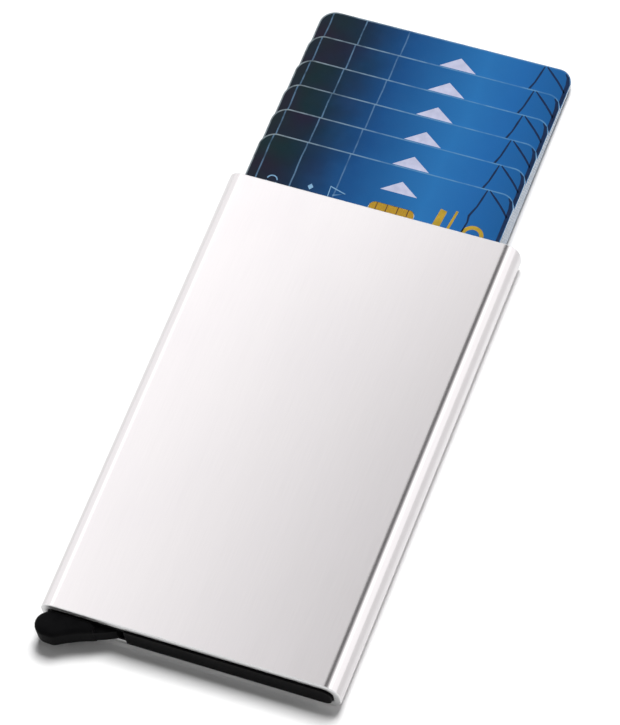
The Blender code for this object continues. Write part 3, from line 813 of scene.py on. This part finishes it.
def make_world():
    """A studio dome: soft boxes to the left and right of the case, with a dark gap between them.

    The gap runs from front to back over the case. The boxes are dimmer low down and at the front.
    Matt surfaces see the dome dimly, so that it's the key light that lights and shades them.
    """
    world = bpy.data.worlds.new("studio")
    bpy.context.scene.world = world
    world.use_nodes = True
    world.cycles.sampling_method = "NONE"
    g = Graph(world.node_tree)
    background = world.node_tree.nodes["Background"]
    axes = g.axes(g.node("ShaderNodeTexCoord").outputs["Generated"])
    lean = g.math("DEGREES", g.math("ARCTAN2", axes["X"], axes["Z"]))
    left_box = g.between(lean, GAP_LEFT - GAP_LEFT_SOFTNESS, GAP_LEFT, LEFT_BOX, GAP_LIGHT)
    right_box = g.between(lean, GAP_RIGHT, GAP_RIGHT + GAP_RIGHT_SOFTNESS, 0.0, RIGHT_BOX)
    foot = g.between(g.math("ABSOLUTE", lean), FOOT_START, FOOT_END, 1.0, FOOT_SHARE)
    boxes = g.math("MULTIPLY", g.math("ADD", left_box, right_box), foot)
    depth = g.between(axes["Y"], FRONT_END, FRONT_START, FRONT_SHARE, 1.0)
    is_matt = g.node("ShaderNodeLightPath").outputs["Is Diffuse Ray"]
    matt = g.math("MULTIPLY_ADD", is_matt, MATT_SHARE - 1.0, 1.0)
    g.feed(background.inputs["Color"], g.math("MULTIPLY", boxes, depth))
    g.feed(background.inputs["Strength"], matt)


def make_soft_box(name, place_at, size, radiance):
    """A square soft box aimed at the case, which doesn't show in glossy surfaces."""
    data = bpy.data.lights.new(name, "AREA")
    data.size = size
    data.energy = radiance * math.pi * size * size
    light = bpy.data.objects.new(name, data)
    light.visible_glossy = False
    light.location = place_at
    light.rotation_mode = "QUATERNION"
    light.rotation_quaternion = (-Vector(place_at)).to_track_quat("-Z", "Y")
    bpy.context.scene.collection.objects.link(light)


def make_camera():
    """A long lens above the lower right of the case, rolled to the slant of the photo."""
    azimuth, elevation = CAMERA_AZIMUTH, CAMERA_ELEVATION
    back = Vector(
        (
            math.sin(azimuth) * math.cos(elevation),
            -math.cos(azimuth) * math.cos(elevation),
            math.sin(elevation),
        )
    )
    right = UP.cross(back).normalized()
    axes = Matrix((right, back.cross(right), back)).transposed().to_4x4()
    data = bpy.data.cameras.new("camera")
    data.lens = CAMERA_LENS
    data.sensor_width = 36.0
    data.clip_start, data.clip_end = 0.01, 100.0
    camera = bpy.data.objects.new("camera", data)
    camera.matrix_world = (
        Matrix.Translation(CAMERA_TARGET + back * CAMERA_DISTANCE)
        @ axes
        @ Matrix.Rotation(CAMERA_ROLL, 4, "Z")
    )
    bpy.context.scene.collection.objects.link(camera)
    bpy.context.scene.camera = camera


def set_material(node, material):
    """Gives a CAD node that stays in view its material and smooth shading."""
    obj = frame["nodes"][node]
    obj.data.materials.clear()
    obj.data.materials.append(material)
    obj.data.shade_smooth()
    obj.data.set_sharp_from_angle(angle=math.radians(SMOOTH_ANGLE))


def main():
    bpy.context.scene.view_settings.view_transform = "Standard"
    make_camera()
    make_world()
    make_floor()
    make_soft_box("key", KEY_PLACE, KEY_SIZE, KEY_RADIANCE)
    make_soft_box("fill", FILL_PLACE, FILL_SIZE, FILL_RADIANCE)

    moulded = [black_plastic(), black_plastic_worn()]
    metal = steel()
    make_sleeve([aluminium_face(), aluminium_cut()])
    make_moulded("base", "base_frame", "case", moulded, BASE_ROUNDING)
    make_moulded("base_lid", "base_cover", "case", moulded, BASE_ROUNDING)
    make_moulded("lever", "trigger_lever", "lever", moulded, LEVER_ROUNDING)
    make_moulded("rail_left", "guide_rail_left", "case", moulded, RAIL_ROUNDING)
    make_moulded("rail_right", "guide_rail_right", "case", moulded, RAIL_ROUNDING)
    set_material("pivot_pin", metal)
    set_material("friction_spring", metal)
    make_return_spring(metal)

    inks = [
        ink("white_ink", (0.38, 0.39, 0.52), (0.46, 0.47, 0.61)),
        ink("dark_ink", (0.003, 0.010, 0.034), (0.005, 0.018, 0.058)),
        ink("gold_foil", (0.31, 0.21, 0.025), (0.46, 0.30, 0.035), 0.5, (0.35, 0.5)),
        ink("pale_ink", (0.12, 0.24, 0.38), (0.20, 0.36, 0.52)),
        ink("stripe", (0.010, 0.009, 0.009), (0.018, 0.016, 0.015), 0.0, (0.3, 0.4)),
        ink("panel", (0.62, 0.62, 0.60), (0.74, 0.74, 0.72), 0.0, (0.5, 0.65)),
    ]
    core = card_core()
    chip_materials = [chip_gold(), chip_gap()]
    for number in CARD_NUMBERS:
        make_card(number, core, inks, chip_materials)


main()
